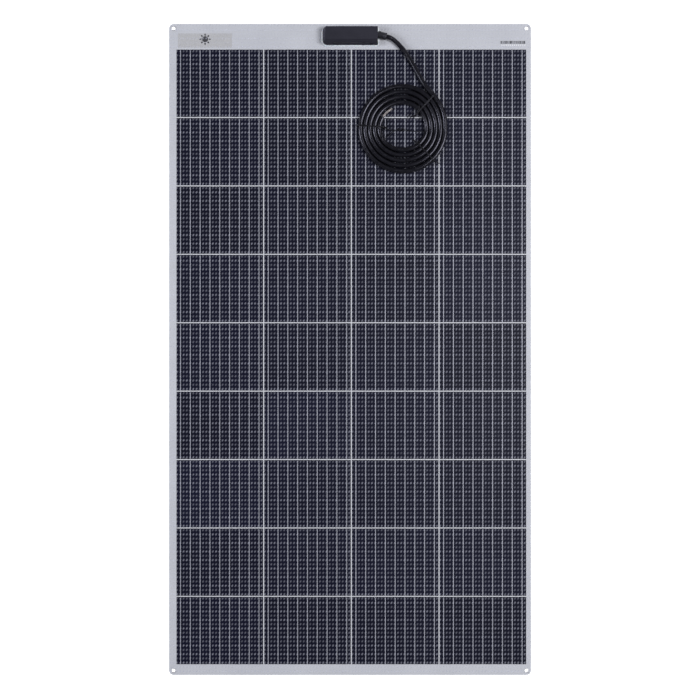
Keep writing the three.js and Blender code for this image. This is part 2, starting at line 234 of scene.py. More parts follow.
def cell_surface():
    """Monocrystalline silicon: dark blue, with fine silver fingers across the ribbons."""
    s = Surface("cell", Specular_IOR_Level=0.1)
    where = s.place(PLACE)
    x, y, _ = s.axes(where)
    left = CELLS[1, 1][0].x
    column = s.math("FLOOR", s.over(s.minus(x, left), CELLS[1, 2][0].x - left))
    row = s.math("FLOOR", s.over(s.minus(ROW_TOP[1], y), ROW_TOP[1] - ROW_TOP[2]))
    body = s.ramp(s.chance(column, row, 3.0), (0.0, (0.0022, 0.0025, 0.0100)),
                  (0.5, (0.0029, 0.0033, 0.0130)), (1.0, (0.0040, 0.0045, 0.0165)))
    shade = s.tint(s.noise(where, 9, 5, 0.6), (0.84, 0.84, 0.86), (1.1, 1.1, 1.08))
    body = s.mixed(1.0, body, shade, "MULTIPLY")
    wave = s.math("SINE", s.times(y, 2 * math.pi / FINGER_PITCH))
    finger = s.mapped(wave, 0.86, 1.0, 0.0, 0.045)
    s.colour(s.mixed(finger, body, (0.14, 0.145, 0.17)))
    grain = s.noise(where, 2500, 2)
    s.rough(grain, 0.3, 0.48)
    s.bump(grain, 0.15, 0.03 * MM)
    return s.material


def ribbon_surface():
    """Tinned copper ribbon, dull and a little wavy."""
    s = Surface("ribbon", Metallic=0.35)
    where = s.place(PLACE)
    streak = s.add("Mapping", {"Vector": where, "Scale": (1.0, 0.08, 1.0)}).outputs["Vector"]
    grain = s.noise(streak, 1500, 3)
    s.colour(s.tint(grain, (0.255, 0.26, 0.295), (0.345, 0.35, 0.395)))
    s.rough(grain, 0.38, 0.6)
    s.bump(s.noise(where, 260, 2), 0.4, 0.1 * MM)
    return s.material


def film_surface():
    """Clear embossed fluoropolymer film, with a pale colour on the dimples of its front face as painted
    glints.
    """
    # the pale base colour is the colour of the painted glints on the dimples
    s = Surface("film", IOR=1.42, Base_Color=(0.76, 0.775, 0.93))
    where = s.place(PLACE)
    x, y, z = s.axes(where)
    turn_x = s.over(s.math("ADD", x, HALF_X), DIMPLE_PITCH_X)
    turn_y = s.over(s.minus(y, ROW_MIDDLE[2]), DIMPLE_PITCH_Y)
    column, row = s.math("FLOOR", turn_x), s.math("FLOOR", turn_y)
    u = s.times(s.minus(s.minus(turn_x, column), 0.5), DIMPLE_PITCH_X)
    v = s.times(s.minus(s.minus(turn_y, row), 0.5), DIMPLE_PITCH_Y)
    lean_sin, lean_cos = math.sin(DIMPLE_LEAN), math.cos(DIMPLE_LEAN)
    long = s.math("ADD", s.times(u, lean_sin), s.times(v, lean_cos))
    short = s.minus(s.times(u, lean_cos), s.times(v, lean_sin))
    spread = s.math("ADD", s.math("POWER", s.over(long, DIMPLE_LONG), 2),
                    s.math("POWER", s.over(short, DIMPLE_SHORT), 2))
    dimple = s.math("EXPONENT", s.times(spread, -0.5))
    weak = s.math("FLOORED_MODULO", row, 2)
    strength = s.minus(1, s.times(weak, 1 - WEAK_DIMPLE))
    strength = s.times(strength, s.mapped(s.chance(column, row), 0, 1, *DIMPLE_CHANCE))
    # painted glints: a pale colour half seen on each dimple, weaker on every other row, stands in for the
    # glints of the embossing
    painted_glint = s.times(s.mapped(dimple, 0.14, 1, 0, 1), strength)
    front = s.mapped(z, SHEET_LOW.z + 0.04 * MM, SHEET_LOW.z + 0.06 * MM, 0, 1)
    s.put(s.shader, "Alpha", s.times(front, s.math("MULTIPLY_ADD", painted_glint, 0.245, 0.001)))
    s.rough(s.noise(where, 420, 4), 0.16, 0.3)
    s.bump(s.noise(where, 700, 2), 0.25, 0.06 * MM)
    return s.material


def box_surface():
    """Charcoal moulded plastic with a fine spark-eroded grain."""
    s = Surface("box_plastic", Specular_IOR_Level=0.5, Specular_Tint=(0.84, 0.82, 1.0))
    where = s.place()
    grain = s.noise(where, 2600, 3)
    s.colour(s.tint(s.noise(where, 60, 3), (0.008, 0.008, 0.0125), (0.0125, 0.0125, 0.018)))
    s.rough(grain, 0.36, 0.5)
    s.bump(grain, 0.35, 0.06 * MM)
    return s.material


def rubber_surface(name, dark, light, smoothest, roughest):
    """Black rubber or vinyl with scuffs."""
    s = Surface(name, Specular_IOR_Level=0.42, Specular_Tint=(0.84, 0.83, 1.0))
    where = s.place()
    scuff = s.noise(where, 120, 5, 0.65)
    s.colour(s.tint(scuff, dark, light, 0.35))
    s.rough(scuff, smoothest, roughest)
    s.bump(s.noise(where, 1800, 3), 0.12, 0.04 * MM)
    return s.material


def bead_surface():
    """White silicone sealant."""
    s = Surface("sealant", Subsurface_Weight=0.1)
    lump = s.noise(s.place(), 220, 3)
    s.colour(s.tint(lump, (0.54, 0.545, 0.57), (0.64, 0.645, 0.67)))
    s.rough(lump, 0.28, 0.42)
    s.bump(lump, 0.4, 0.25 * MM)
    return s.material


def metal_surface(name, dark, light, metallic, smoothest, roughest):
    """A metal with a fine brushed or drawn grain."""
    s = Surface(name, Metallic=metallic)
    grain = s.noise(s.place(), 900, 4)
    s.colour(s.tint(grain, dark, light))
    s.rough(grain, smoothest, roughest)
    s.bump(grain, 0.2, 0.04 * MM)
    return s.material


def print_surface(name, dark, light):
    """Ink or printed paper under the film."""
    s = Surface(name, Roughness=0.6)
    grain = s.noise(s.place(), 600, 3)
    s.colour(s.tint(grain, dark, light, 0.35, 0.65))
    s.bump(grain, 0.1, 0.02 * MM)
    return s.material


def diode_surface():
    """Black epoxy with a silver band at its cathode end."""
    s = Surface("diode_epoxy")
    where = s.place()
    low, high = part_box("bypass_diode")
    x = s.minus(s.axes(where)[0], (low.x + high.x) / 2)
    band = s.times(s.mapped(x, 2.1 * MM, 2.2 * MM, 0, 1), s.mapped(x, 3.6 * MM, 3.7 * MM, 1, 0))
    s.colour(s.mixed(band, (0.012, 0.012, 0.013), (0.62, 0.62, 0.63)))
    s.rough(s.noise(where, 1500), 0.3, 0.45)
    return s.material


def floor_surface():
    """A plain pale studio floor."""
    s = Surface("floor", Roughness=0.9, Emission_Color=(1, 1, 1), Emission_Strength=0.8)
    s.colour(s.tint(s.noise(s.place(), 3, 2), (0.93, 0.93, 0.93), (0.95, 0.95, 0.95)))
    return s.material


# ---- mesh helpers

def mm(x, y, z=0.0):
    return Vector((x, y, z)) * MM


def disc(x, y, radius, sides=40):
    angles = (2 * math.pi * k / sides for k in range(sides))
    return [(x + radius * math.cos(a), y + radius * math.sin(a)) for a in angles]


class Shape:
    """Vertices and faces gathered from several solids, and made into one object at the end."""

    def __init__(self):
        self.points = []
        self.faces = []

    def bar(self, left, right, stations):
        """A flat bar along Y; each station is (y, lowest z, highest z)."""
        self.rings([[(left, y, low), (right, y, low), (right, y, high), (left, y, high)]
                    for y, low, high in stations])

    def rings(self, rings, closed=False):
        """A skin over rings with equal numbers of points, with a face on each end unless closed."""
        count, start = len(rings[0]), len(self.points)
        self.points += [tuple(point) for ring in rings for point in ring]
        numbers = [[start + k * count + i for i in range(count)] for k in range(len(rings))]
        for here, there in zip(numbers, numbers[1:] + numbers[:1] * closed):
            for i, j in zip(range(count), [*range(1, count), 0]):
                self.faces.append([here[i], here[j], there[j], there[i]])
        if not closed:
            self.faces += [numbers[0][::-1], numbers[-1]]

    def turned(self, profile, matrix, sides=48):
        """A lathed solid: (radius, height) points from the axis to the axis, or a closed loop."""
        on_axis = profile[0][0] == 0 and profile[-1][0] == 0
        inner = profile[1:-1] if on_axis else profile
        rings = []
        for radius, height in inner:
            ring = [(*point, height) for point in disc(0, 0, radius, sides)]
            rings.append([matrix @ Vector(point) for point in ring])
        self.rings(rings, closed=not on_axis)

    def make(self, name, material, angle=35):
        mesh = bpy.data.meshes.new(name)
        mesh.from_pydata(self.points, [], self.faces)
        work = bmesh.new()
        work.from_mesh(mesh)
        bmesh.ops.recalc_face_normals(work, faces=work.faces)
        work.to_mesh(mesh)
        work.free()
        return placed(mesh, material, angle)


def linked(name, data):
    """A new object in the scene."""
    obj = bpy.data.objects.new(name, data)
    bpy.context.scene.collection.objects.link(obj)
    return obj


def placed(mesh, material, angle=35):
    """An object of that mesh, smooth but for edges sharper than the angle, in degrees."""
    mesh.materials.append(material)
    mesh.shade_smooth()
    mesh.set_sharp_from_angle(angle=math.radians(angle))
    return linked(mesh.name, mesh)


def coordinates(mesh):
    co = np.empty(len(mesh.vertices) * 3, np.float32)
    mesh.vertices.foreach_get("co", co)
    return co


def keep_place(obj):
    """Stores where each vertex is at rest, for the materials of the bending pieces."""
    stored = obj.data.attributes.new(PLACE, "FLOAT_VECTOR", "POINT")
    stored.data.foreach_set("vector", coordinates(obj.data))


def smooth_path(points, steps):
    """A Catmull-Rom curve through the points, with that many steps in each span."""
    p = [Vector(q) for q in points]
    p = [2 * p[0] - p[1], *p, 2 * p[-1] - p[-2]]
    made = []
    for a, b, c, d in zip(p, p[1:], p[2:], p[3:]):
        for k in range(steps):
            t = k / steps
            made.append(0.5 * (2 * b + (c - a) * t + (2 * a - 5 * b + 4 * c - d) * t * t
                               + (3 * b - a - 3 * c + d) * t ** 3))
    made.append(p[-2])
    return made


def wires(name, paths, material, resolution=4):
    """A curve object of round wires; each path is (points, radius, closed)."""
    curve = bpy.data.curves.new(name, "CURVE")
    curve.dimensions = "3D"
    curve.bevel_depth = max(radius for _, radius, _ in paths)
    curve.bevel_resolution = resolution
    curve.use_fill_caps = True
    for points, radius, closed in paths:
        spline = curve.splines.new("POLY")
        spline.points.add(len(points) - 1)
        for point, place in zip(spline.points, points):
            point.co = (*place, 1)
            point.radius = radius / curve.bevel_depth
        spline.use_cyclic_u = closed
        spline.use_smooth = True
    curve.materials.append(material)
    return linked(name, curve)


def settle(obj, slot, *nodes, body="head"):
    """Parents a new piece to its body and hides the CAD nodes that it stands for; the slot is not used."""
    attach(obj, body)
    if nodes:
        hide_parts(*nodes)
    return obj


# ---- camera and cable

def make_camera():
    """Straight above the sheet, three metres up."""
    data = bpy.data.cameras.new("camera")
    data.sensor_width = 36
    data.lens = 80.4
    camera = linked("camera", data)
    camera.location = (-0.1 * MM, -1.15 * MM, SHEET_HIGH.z + 3.0)
    bpy.context.scene.camera = camera


OUTER_TURN = 81.2 * MM
PITCH_X, PITCH_Y = 9.0 * MM, 10.1 * MM
LAST_TURN = 4.578
LAST_TURN_LENGTH = 270
TURN_STEPS = 72
PATH_STEPS = 8
SAG = 1.3 * MM


def coil_point(turns):
    """A point of the coil's centreline, that many turns clockwise from 3 o'clock on the outermost turn."""
    angle = 2 * math.pi * turns
    # the cable moves in by one pitch over the last quarter of each turn
    part = min(max((turns % 1 - 0.75) * 4, 0), 1)
    moved_in = math.floor(turns) + part * part * (3 - 2 * part)
    pitch = PITCH_X * math.cos(angle) ** 2 + PITCH_Y * math.sin(angle) ** 2
    radius = OUTER_TURN - pitch * moved_in
    # and it sags between the ties
    free = min(1 - math.cos(-angle - math.radians(tie)) for tie in TIE_ANGLES.values())
    z = COIL_Z - SAG * min(free * 4, 1)
    return Vector((COIL_X + radius * math.cos(angle), COIL_Y - radius * math.sin(angle), z))


LEAD_START = mm(69.95, 598.67, 10.4)
LEAD_POINTS = [(75.76, 597.17, 10.4), (84.0, 592.4, 9.2), (94.6, 582.4, 8.0), (105.7, 569.4, 7.4),
               (119.9, 547.0, 7.4), (133.8, 521.7, 8.2), (145.4, 503.0, 9.1)]
LEAD_TO_COIL = [(162.6, 483.0, 9.0), (173.6, 465.7, 8.6), (180.4, 446.0, 8.1)]


# The stripped cores, in mm: how far past the jacket's end each point lies, and how far each core drops.
CORE_ALONG = (-3, 2, 8, 16, 25)
CORE_DROPS = {1: (0, 0.2, 1.0, 2.0, 2.6), -1: (0, 0.2, 0.8, 1.6, 2.0)}
CORE_RADIUS = 1.75 * MM
SLEEVE_POINTS = 9
STRANDS = 6
STRAND_RADIUS = 0.4 * MM
STRAND_SPREAD = 0.8 * MM
STRAND_START = 6
STRAND_LAY = 18


def core_paths():
    """The two stripped cores: a stub of insulation each, and seven twisted strands."""
    sleeves, strands = [], []
    for sign, drops in CORE_DROPS.items():
        run = []
        for along, drop in zip(CORE_ALONG, drops):
            at = coil_point(LAST_TURN + along / LAST_TURN_LENGTH)
            out = Vector((at.x - COIL_X, at.y - COIL_Y, 0)).normalized()
            outward = 0.5 * sign + 0.09 * max(along, 0)
            run.append(at + out * outward * MM + mm(0, 0, 1.9 * sign - drop))
        run = smooth_path(run, PATH_STEPS)
        sleeves.append((run[:SLEEVE_POINTS], CORE_RADIUS, False))
        for k in range(STRANDS + 1):
            spread = 0 if k == STRANDS else STRAND_SPREAD
            twist = []
            for i, p in enumerate(run):
                a = 2 * math.pi * (k / STRANDS + i / STRAND_LAY)
                twist.append(p + out * spread * math.cos(a) + Vector((0, 0, spread * math.sin(a))))
            strands.append((twist[STRAND_START:], STRAND_RADIUS, False))
    return sleeves, strands


def make_cable(jacket, copper, insulation):
    """The cable from the boot to its stripped end, as one curve, with its two cores."""
    inside_boot = LEAD_START + (LEAD_START - mm(*LEAD_POINTS[0])).normalized() * 2.5 * MM
    lead = [inside_boot, LEAD_START] + [mm(*p) for p in LEAD_POINTS + LEAD_TO_COIL]
    turns = int(LAST_TURN * TURN_STEPS)
    coil = [coil_point(k * LAST_TURN / turns) for k in range(turns + 1)]
    path = smooth_path(lead + [coil[0]], PATH_STEPS)[:-1] + coil
    cable = wires("power_cable", [(path, CABLE_RADIUS, False)], jacket, 7)
    settle(cable, "cable_jacket", "cable_lead", "cable_coil")
    sleeves, strands = core_paths()
    sleeve = settle(wires("core_insulation", sleeves, insulation), "cable_jacket")
    cores = settle(wires("core_strands", strands, copper, 2), "tinned_copper")


TIE_RADIUS = 0.75 * MM
TIE_INNER, TIE_OUTER = 35.9 * MM, 87.0 * MM
TIE_LOW, TIE_HIGH = COIL_LOW.z - 1.1 * MM, COIL_HIGH.z + 1.0 * MM
TIE_CORNER = 3.2 * MM
TWIST_STEPS, TWIST_TURN, TWIST_RADIUS = 25, 0.75, 0.8 * MM
# The ties' loose tails, in mm from the coil's centre and from the ground.
TIE_TAILS = {
    "tie_left": [
        [(-36, 2, 12.5), (-31, 0, 9), (-24, -2.2, 5.6), (-15, -2.5, 4.2), (-7, -1.2, 4), (2.5, -2.5, 4.1)],
        [(-36, 1, 9.5), (-39, -10, 14.6), (-39, -24, 14.8), (-30, -16, 9), (-17, -4.5, 4.2), (-6, 2, 4.4)],
        [(-10, -1.0, 4.1), (-4, -4.5, 5.0), (2.0, -1.5, 6.2), (-2.5, 1.0, 5.0), (6.6, -2.5, 4.6),
         (20, -4.5, 6.0), (32, -5.4, 11.5), (38, -6, 14.4), (45.6, -6.6, 14.6)],
    ],
    "tie_upper_right": [
        [(27, 27.5, 12.0), (31, 43, 14.8), (23, 36, 11.0), (15, 28, 6.0), (8.6, 21.5, 4.2)],
        [(25, 25, 9.5), (19, 24.5, 6.0), (14, 20.5, 4.4)],
    ],
    "tie_lower_right": [
        [(59.0, -61.5, 14.2), (63.5, -63.5, 11.0), (66.5, -64.0, 6.0), (70.5, -66.5, 4.2)],
    ],
}


def tie_loop(centre, out):
    """A loop with round corners, which stands across all the coil's turns."""
    corners = ((TIE_OUTER, TIE_HIGH, 0), (TIE_INNER, TIE_HIGH, 90), (TIE_INNER, TIE_LOW, 180),
               (TIE_OUTER, TIE_LOW, 270))
    loop = []
    for along, height, first in corners:
        mid_along = along + (TIE_CORNER if along == TIE_INNER else -TIE_CORNER)
        mid_height = height + (TIE_CORNER if height == TIE_LOW else -TIE_CORNER)
        for k in range(6):
            a = math.radians(first + 90 * k / 5)
            across, z = mid_along + TIE_CORNER * math.cos(a), mid_height + TIE_CORNER * math.sin(a)
            loop.append(centre + out * across + Vector((0, 0, z)))
    return loop


def tie_twist(knot, out, side, phase):
    """One strand of the knot, which runs down and inwards."""
    strand = []
    for k in range(TWIST_STEPS):
        a = phase + k * TWIST_TURN
        drop = mm(0, 0, -k * 0.24) - out * k * 0.28 * MM
        round_knot = side * math.cos(a) + Vector((0, 0, math.sin(a)))
        strand.append(knot + drop + round_knot * TWIST_RADIUS)
    return strand


def make_ties(material):
    """Three coated wire ties round the coil, each of two strands, with twisted tails."""
    centre = Vector((COIL_X, COIL_Y, 0))
    for name, degrees in TIE_ANGLES.items():
        angle = math.radians(degrees)
        out = Vector((math.cos(angle), math.sin(angle), 0))
        side = Vector((-out.y, out.x, 0))
        loop = tie_loop(centre, out)
        paths = [([p + side * shift * MM for p in loop], TIE_RADIUS, True) for shift in (-0.6, 0.6)]
        knot = centre + out * (TIE_INNER + 0.4 * MM) + mm(0, 0, 10)
        for phase in (0, math.pi):
            paths.append((tie_twist(knot, out, side, phase), TIE_RADIUS * 0.9, False))
        for tail in TIE_TAILS[name]:
            points = [centre + mm(*p) for p in tail]
            paths.append((smooth_path(points, 7), TIE_RADIUS * 0.8, False))
        settle(wires(name.replace("tie", "wire_tie"), paths, material), "tie_wire", name)


# ---- the sheet

def body_of_row(row):
    return "head" if row <= 2 else f"row_{row}"


def make_sections():
    """The sheet in nine stretches, cut at the middles of rows, so that each bends at one hinge at most."""
    cuts = [HALF_Y] + [ROW_MIDDLE[row] for row in range(2, ROWS + 1)] + [-HALF_Y]
    sections = []
    for first, top, bottom in zip(range(1, ROWS + 1), cuts, cuts[1:]):
        rows = (first, first + 1) if first < ROWS else (ROWS,)
        name = f"rows_{first}_{first + 1}" if first < ROWS else "row_9_end"
        hinge = RECORD_JOINTS.get(f"bend_{first}_{first + 1}")
        sections.append({"name": name, "rows": rows, "top": top, "bottom": bottom,
                         "hinge": hinge and hinge["pos_m"][1]})
    return sections


def join_sheet(obj, section, nodes=()):
    """Fixes a piece of the sheet to its body, or, where it spans a hinge, only bakes its transform into its
    mesh.
    """
    keep_place(obj)
    first, last = section["rows"][0], section["rows"][-1]
    if section["hinge"] is None:
        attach(obj, body_of_row(last))
    else:
        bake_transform(obj)
    if nodes:
        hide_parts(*nodes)


def steps_between(low, high, step):
    count = max(1, math.ceil((high - low) / step - 1e-6))
    return [low + (high - low) * k / count for k in range(count + 1)]


def merged_stations(values):
    """Sorted values with near repeats removed."""
    kept = []
    for value in sorted(values):
        if not kept or value - kept[-1] > 0.01 * MM:
            kept.append(value)
    return kept


def rounded(x, y):
    """The sheet's square corners drawn in to arcs."""
    u = np.maximum(np.abs(x) - (HALF_X - CORNER_RADIUS), 0)
    v = np.maximum(np.abs(y) - (HALF_Y - CORNER_RADIUS), 0)
    reach = np.hypot(u, v)
    scale = np.where(reach > 0, np.maximum(u, v) / np.where(reach > 0, reach, 1), 1)
    both = (u > 0) & (v > 0)
    x = np.where(both, np.sign(x) * (HALF_X - CORNER_RADIUS + u * scale), x)
    y = np.where(both, np.sign(y) * (HALF_Y - CORNER_RADIUS + v * scale), y)
    return x, y


CORNERS = ("top_left", "top_right", "bottom_left", "bottom_right")
EYELETS = {name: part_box("eyelet_" + name) for name in CORNERS}
EYELET_CENTRES = [((low.x + high.x) / 2, (low.y + high.y) / 2) for low, high in EYELETS.values()]
EYELET_FLANGE = (EYELETS["top_left"][1].x - EYELETS["top_left"][0].x) / 2
EYELET_BORE = 3.1 * MM
EYELET_HOLE = EYELET_BORE + 0.75 * MM


def opened_grid(xs, ys):
    """A grid drawn in to the sheet's round corners and its round holes, and which of its squares are kept."""
    gx, gy = np.meshgrid(np.array(xs), np.array(ys))
    px, py = rounded(gx, gy)
    mid_x = (gx[:-1, :-1] + gx[1:, 1:]) / 2
    mid_y = (gy[:-1, :-1] + gy[1:, 1:]) / 2
    kept = np.ones(mid_x.shape, bool)
    for cx, cy in EYELET_CENTRES:
        kept &= np.hypot(mid_x - cx, mid_y - cy) > EYELET_HOLE
    in_hole = np.zeros(gx.shape, bool)
    for rows in (slice(None, -1), slice(1, None)):
        for columns in (slice(None, -1), slice(1, None)):
            in_hole[rows, columns] |= ~kept
    for cx, cy in EYELET_CENTRES:
        reach = np.hypot(px - cx, py - cy)
        near = in_hole & (reach < 3 * EYELET_HOLE) & (reach > 1e-6)
        px = np.where(near, cx + (px - cx) * EYELET_HOLE / np.where(near, reach, 1), px)
        py = np.where(near, cy + (py - cy) * EYELET_HOLE / np.where(near, reach, 1), py)
    return px, py, kept


def wall_faces(quads, shift):
    """Walls below every edge that only one square has, which are the edges of the rim and of the holes."""
    edges = np.concatenate([quads[:, [k, (k + 1) % 4]] for k in range(4)])
    key = edges[:, 0].astype(np.int64) * (shift + 1) + edges[:, 1]
    back = edges[:, 1].astype(np.int64) * (shift + 1) + edges[:, 0]
    rim = edges[~np.isin(key, back)]
    return np.stack([rim[:, 1], rim[:, 0], rim[:, 0] + shift, rim[:, 1] + shift], -1).tolist()


def underside_faces(under, kept, step_x, step_y):
    """The underside in blocks of squares. A block with a hole stays in squares, and the blocks beside it
    and at the rim keep every point of that side."""
    last_x, last_y = len(under[0]) - 1, len(under) - 1
    starts_x, starts_y = range(0, last_x, step_x), range(0, last_y, step_y)
    whole = {}
    for b, j in enumerate(starts_y):
        for a, i in enumerate(starts_x):
            whole[a, b] = bool(kept[j:j + step_y, i:i + step_x].all())
    faces = []
    for a, b in whole:
        i0, j0 = starts_x[a], starts_y[b]
        i1, j1 = min(i0 + step_x, last_x), min(j0 + step_y, last_y)
        if not whole[a, b]:
            faces += [[under[j + 1][i], under[j + 1][i + 1], under[j][i + 1], under[j][i]]
                      for j in range(j0, j1) for i in range(i0, i1) if kept[j, i]]
            continue
        sides = []
        for neighbour, along in (((a, b - 1), [(j0, i) for i in range(i0, i1 + 1)]),
                                 ((a + 1, b), [(j, i1) for j in range(j0, j1 + 1)]),
                                 ((a, b + 1), [(j1, i) for i in range(i1, i0 - 1, -1)]),
                                 ((a - 1, b), [(j, i0) for j in range(j1, j0 - 1, -1)])):
            sides += along[:1] if whole.get(neighbour) else along[:-1]
        faces.append([under[j][i] for j, i in sides[::-1]])
    return faces


def opened_mesh(name, xs, ys, levels, bottom, block):
    """A closed slab over a grid, with the eyelets' holes and rounded corners. levels is the height of
    each grid point, bottom the height below, and block a block's size in squares on the underside."""
    px, py, kept = opened_grid(xs, ys)
    top = np.stack([px, py, levels], -1).reshape(-1, 3)
    under = np.stack([px, py, np.full_like(px, bottom)], -1).reshape(-1, 3)
    points = np.concatenate([top, under])
    shift = px.size
    index = np.arange(shift).reshape(px.shape)
    quads = np.stack([index[:-1, :-1], index[:-1, 1:], index[1:, 1:], index[1:, :-1]], -1)[kept]
    faces = quads.tolist() + wall_faces(quads, shift)
    faces += underside_faces((index + shift).tolist(), kept, *block)
    used = np.unique(np.concatenate([np.array(face) for face in faces]))
    place = np.zeros(len(points), np.int64)
    place[used] = np.arange(len(used))
    lookup = place.tolist()
    mesh = bpy.data.meshes.new(name)
    mesh.from_pydata(points[used].tolist(), [], [[lookup[i] for i in face] for face in faces])
    return mesh


def film_rows(section):
    """The grid lines of a film stretch, from its bottom to its top, and their numbers."""
    # grid lines are counted from the middle of row 2, where a row of dimples never lies
    first = math.ceil((section["bottom"] - ROW_MIDDLE[2]) / FILM_STEP_Y - 0.3)
    last = math.floor((section["top"] - ROW_MIDDLE[2]) / FILM_STEP_Y + 0.3)
    numbers = np.arange(first, last + 1)
    lines = ROW_MIDDLE[2] + numbers * FILM_STEP_Y
    for end, edge in ((0, section["bottom"]), (-1, section["top"])):
        if abs(lines[end] - edge) > 0.4 * FILM_STEP_Y:
            extra = numbers[end] + (1 if end else -1)
            numbers = np.append(numbers, extra) if end else np.insert(numbers, 0, extra)
            lines = np.append(lines, edge) if end else np.insert(lines, 0, edge)
        lines[end] = edge
    return lines, numbers


def dimple_heights(xs, line_numbers):
    """The height of the embossing at each grid point."""
    columns = np.arange(len(xs))
    across = (columns % DIMPLE_COLUMNS - DIMPLE_COLUMNS / 2) * FILM_STEP_X
    along = (line_numbers % DIMPLE_ROWS - DIMPLE_ROWS / 2) * FILM_STEP_Y
    u, v = np.meshgrid(across, along)
    long = u * math.sin(DIMPLE_LEAN) + v * math.cos(DIMPLE_LEAN)
    short = u * math.cos(DIMPLE_LEAN) - v * math.sin(DIMPLE_LEAN)
    shape = np.exp(-(long / DIMPLE_LONG) ** 2 / 2 - (short / DIMPLE_SHORT) ** 2 / 2)
    rows = line_numbers // DIMPLE_ROWS
    groups = columns // DIMPLE_COLUMNS
    chance = np.random.default_rng(11).uniform(*DIMPLE_CHANCE, (400, 200))
    strength = chance[rows[:, None] + 200, groups[None, :]]
    strength = strength * np.where(rows % 2 == 0, 1, WEAK_DIMPLE)[:, None]
    return DIMPLE_HEIGHT * strength * shape


def make_film(sections, material):
    xs = np.linspace(SHEET_LOW.x, SHEET_HIGH.x, FILM_COLUMNS + 1)
    for section in sections:
        ys, numbers = film_rows(section)
        levels = FILM_FACE + dimple_heights(xs, numbers)
        edge = np.minimum(HALF_X - np.abs(xs)[None, :], HALF_Y - np.abs(ys)[:, None])
        fade = np.clip(edge / (2 * MM), 0, 1)
        levels = SHEET_LOW.z + 0.1 * MM + (levels - SHEET_LOW.z - 0.1 * MM) * fade
        mesh = opened_mesh("film_" + section["name"], xs, ys, levels, SHEET_LOW.z, (8, 5))
        scallop_rim(mesh)
        obj = placed(mesh, material, 40)
        join_sheet(obj, section, ["front_film"])


def scallop_rim(mesh):
    """The film's trimmed edge follows the embossing in shallow scallops."""
    co = coordinates(mesh).reshape(-1, 3)
    depth, period, band, corner = 0.4 * MM, 8.2 * MM, 5 * MM, 14 * MM
    for axis, half, other_half in ((0, HALF_X, HALF_Y), (1, HALF_Y, HALF_X)):
        here, other = co[:, axis].copy(), co[:, 1 - axis].copy()
        weight = np.clip(1 - (half - np.abs(here)) / band, 0, 1)
        weight *= np.clip((other_half - corner - np.abs(other)) / (3 * MM), 0, 1)
        wave = (1 - np.cos(2 * math.pi * other / period)) / 2
        co[:, axis] = here - np.sign(here) * depth * wave * weight
    mesh.vertices.foreach_set("co", co.reshape(-1))


def sheet_stations():
    """Grid lines of the laminate near its corners: the rim's arcs and the eyelets' holes."""
    lines = {}
    for axis, half in (("x", HALF_X), ("y", HALF_Y)):
        lines[axis] = []
        for sign in (-1, 1):
            near_rim = [step * MM for step in (0, 0.9, 2.1, 3.6)] + [CORNER_RADIUS - EYELET_HOLE]
            lines[axis] += [sign * (half - step) for step in near_rim]
            middle = half - CORNER_RADIUS
            lines[axis] += [sign * (middle + part * EYELET_HOLE) for part in (-1, -0.5, 0, 0.5, 1)]
    return lines["x"], lines["y"]


def pocket_lines(pockets):
    """Two grid lines at each edge of every pocket, so that its walls are steep."""
    lip = 0.02 * MM
    return [line for low, high in pockets for line in (low - lip, low, high, high + lip)]


def within(grid, pockets):
    slack = 0.005 * MM
    return np.any([(grid > low - slack) & (grid < high + slack) for low, high in pockets], axis=0)


def make_backing(sections, material):
    """The white laminate, full height between the cells and sunk under them."""
    lines_x, lines_y = sheet_stations()
    clearance = 0.2 * MM
    first_row = [CELLS[1, column] for column in range(1, COLUMNS + 1)]
    pockets_x = [(low.x - clearance, high.x + clearance) for low, high in first_row]
    pockets_y = [(ROW_BOTTOM[r] - clearance, ROW_TOP[r] + clearance) for r in range(1, ROWS + 1)]
    xs = merged_stations(lines_x + pocket_lines(pockets_x))
    for section in sections:
        low, high = section["bottom"], section["top"]
        lines = [y for y in lines_y + pocket_lines(pockets_y) if low < y < high]
        ys = merged_stations(lines + steps_between(low, high, STEP))
        gx, gy = np.meshgrid(np.array(xs), np.array(ys))
        levels = np.where(within(gx, pockets_x) & within(gy, pockets_y), POCKET_FLOOR, BACKING_TOP)
        mesh = opened_mesh("backing_" + section["name"], xs, ys, levels, 0.0, (1, 1))
        nodes = {"laminate_rows_1_2" if row <= 2 else f"laminate_row_{row}" for row in section["rows"]}
        join_sheet(placed(mesh, material, 30), section, sorted(nodes))


def make_cells(sections, material):
    for section in sections:
        shape = Shape()
        nodes = []
        for row in section["rows"]:
            for column in range(1, COLUMNS + 1):
                low, high = CELLS[row, column]
                from_y, to_y = max(low.y, section["bottom"]), min(high.y, section["top"])
                stations = [(y, low.z, high.z) for y in steps_between(from_y, to_y, STEP)]
                shape.bar(low.x, high.x, stations)
                nodes.append(f"cell_r{row}_c{column}")
        join_sheet(shape.make("cells_" + section["name"], material), section, nodes)


def ribbon_level(y, row):
    """How high a ribbon of that row runs at y: along its cell's face, then down in the gap."""
    past = ROW_BOTTOM[row] - y
    return CELL_TOP - min(max(past / RIBBON_DIP, 0), 1) * (CELL_TOP - POCKET_FLOOR - 0.01 * MM)


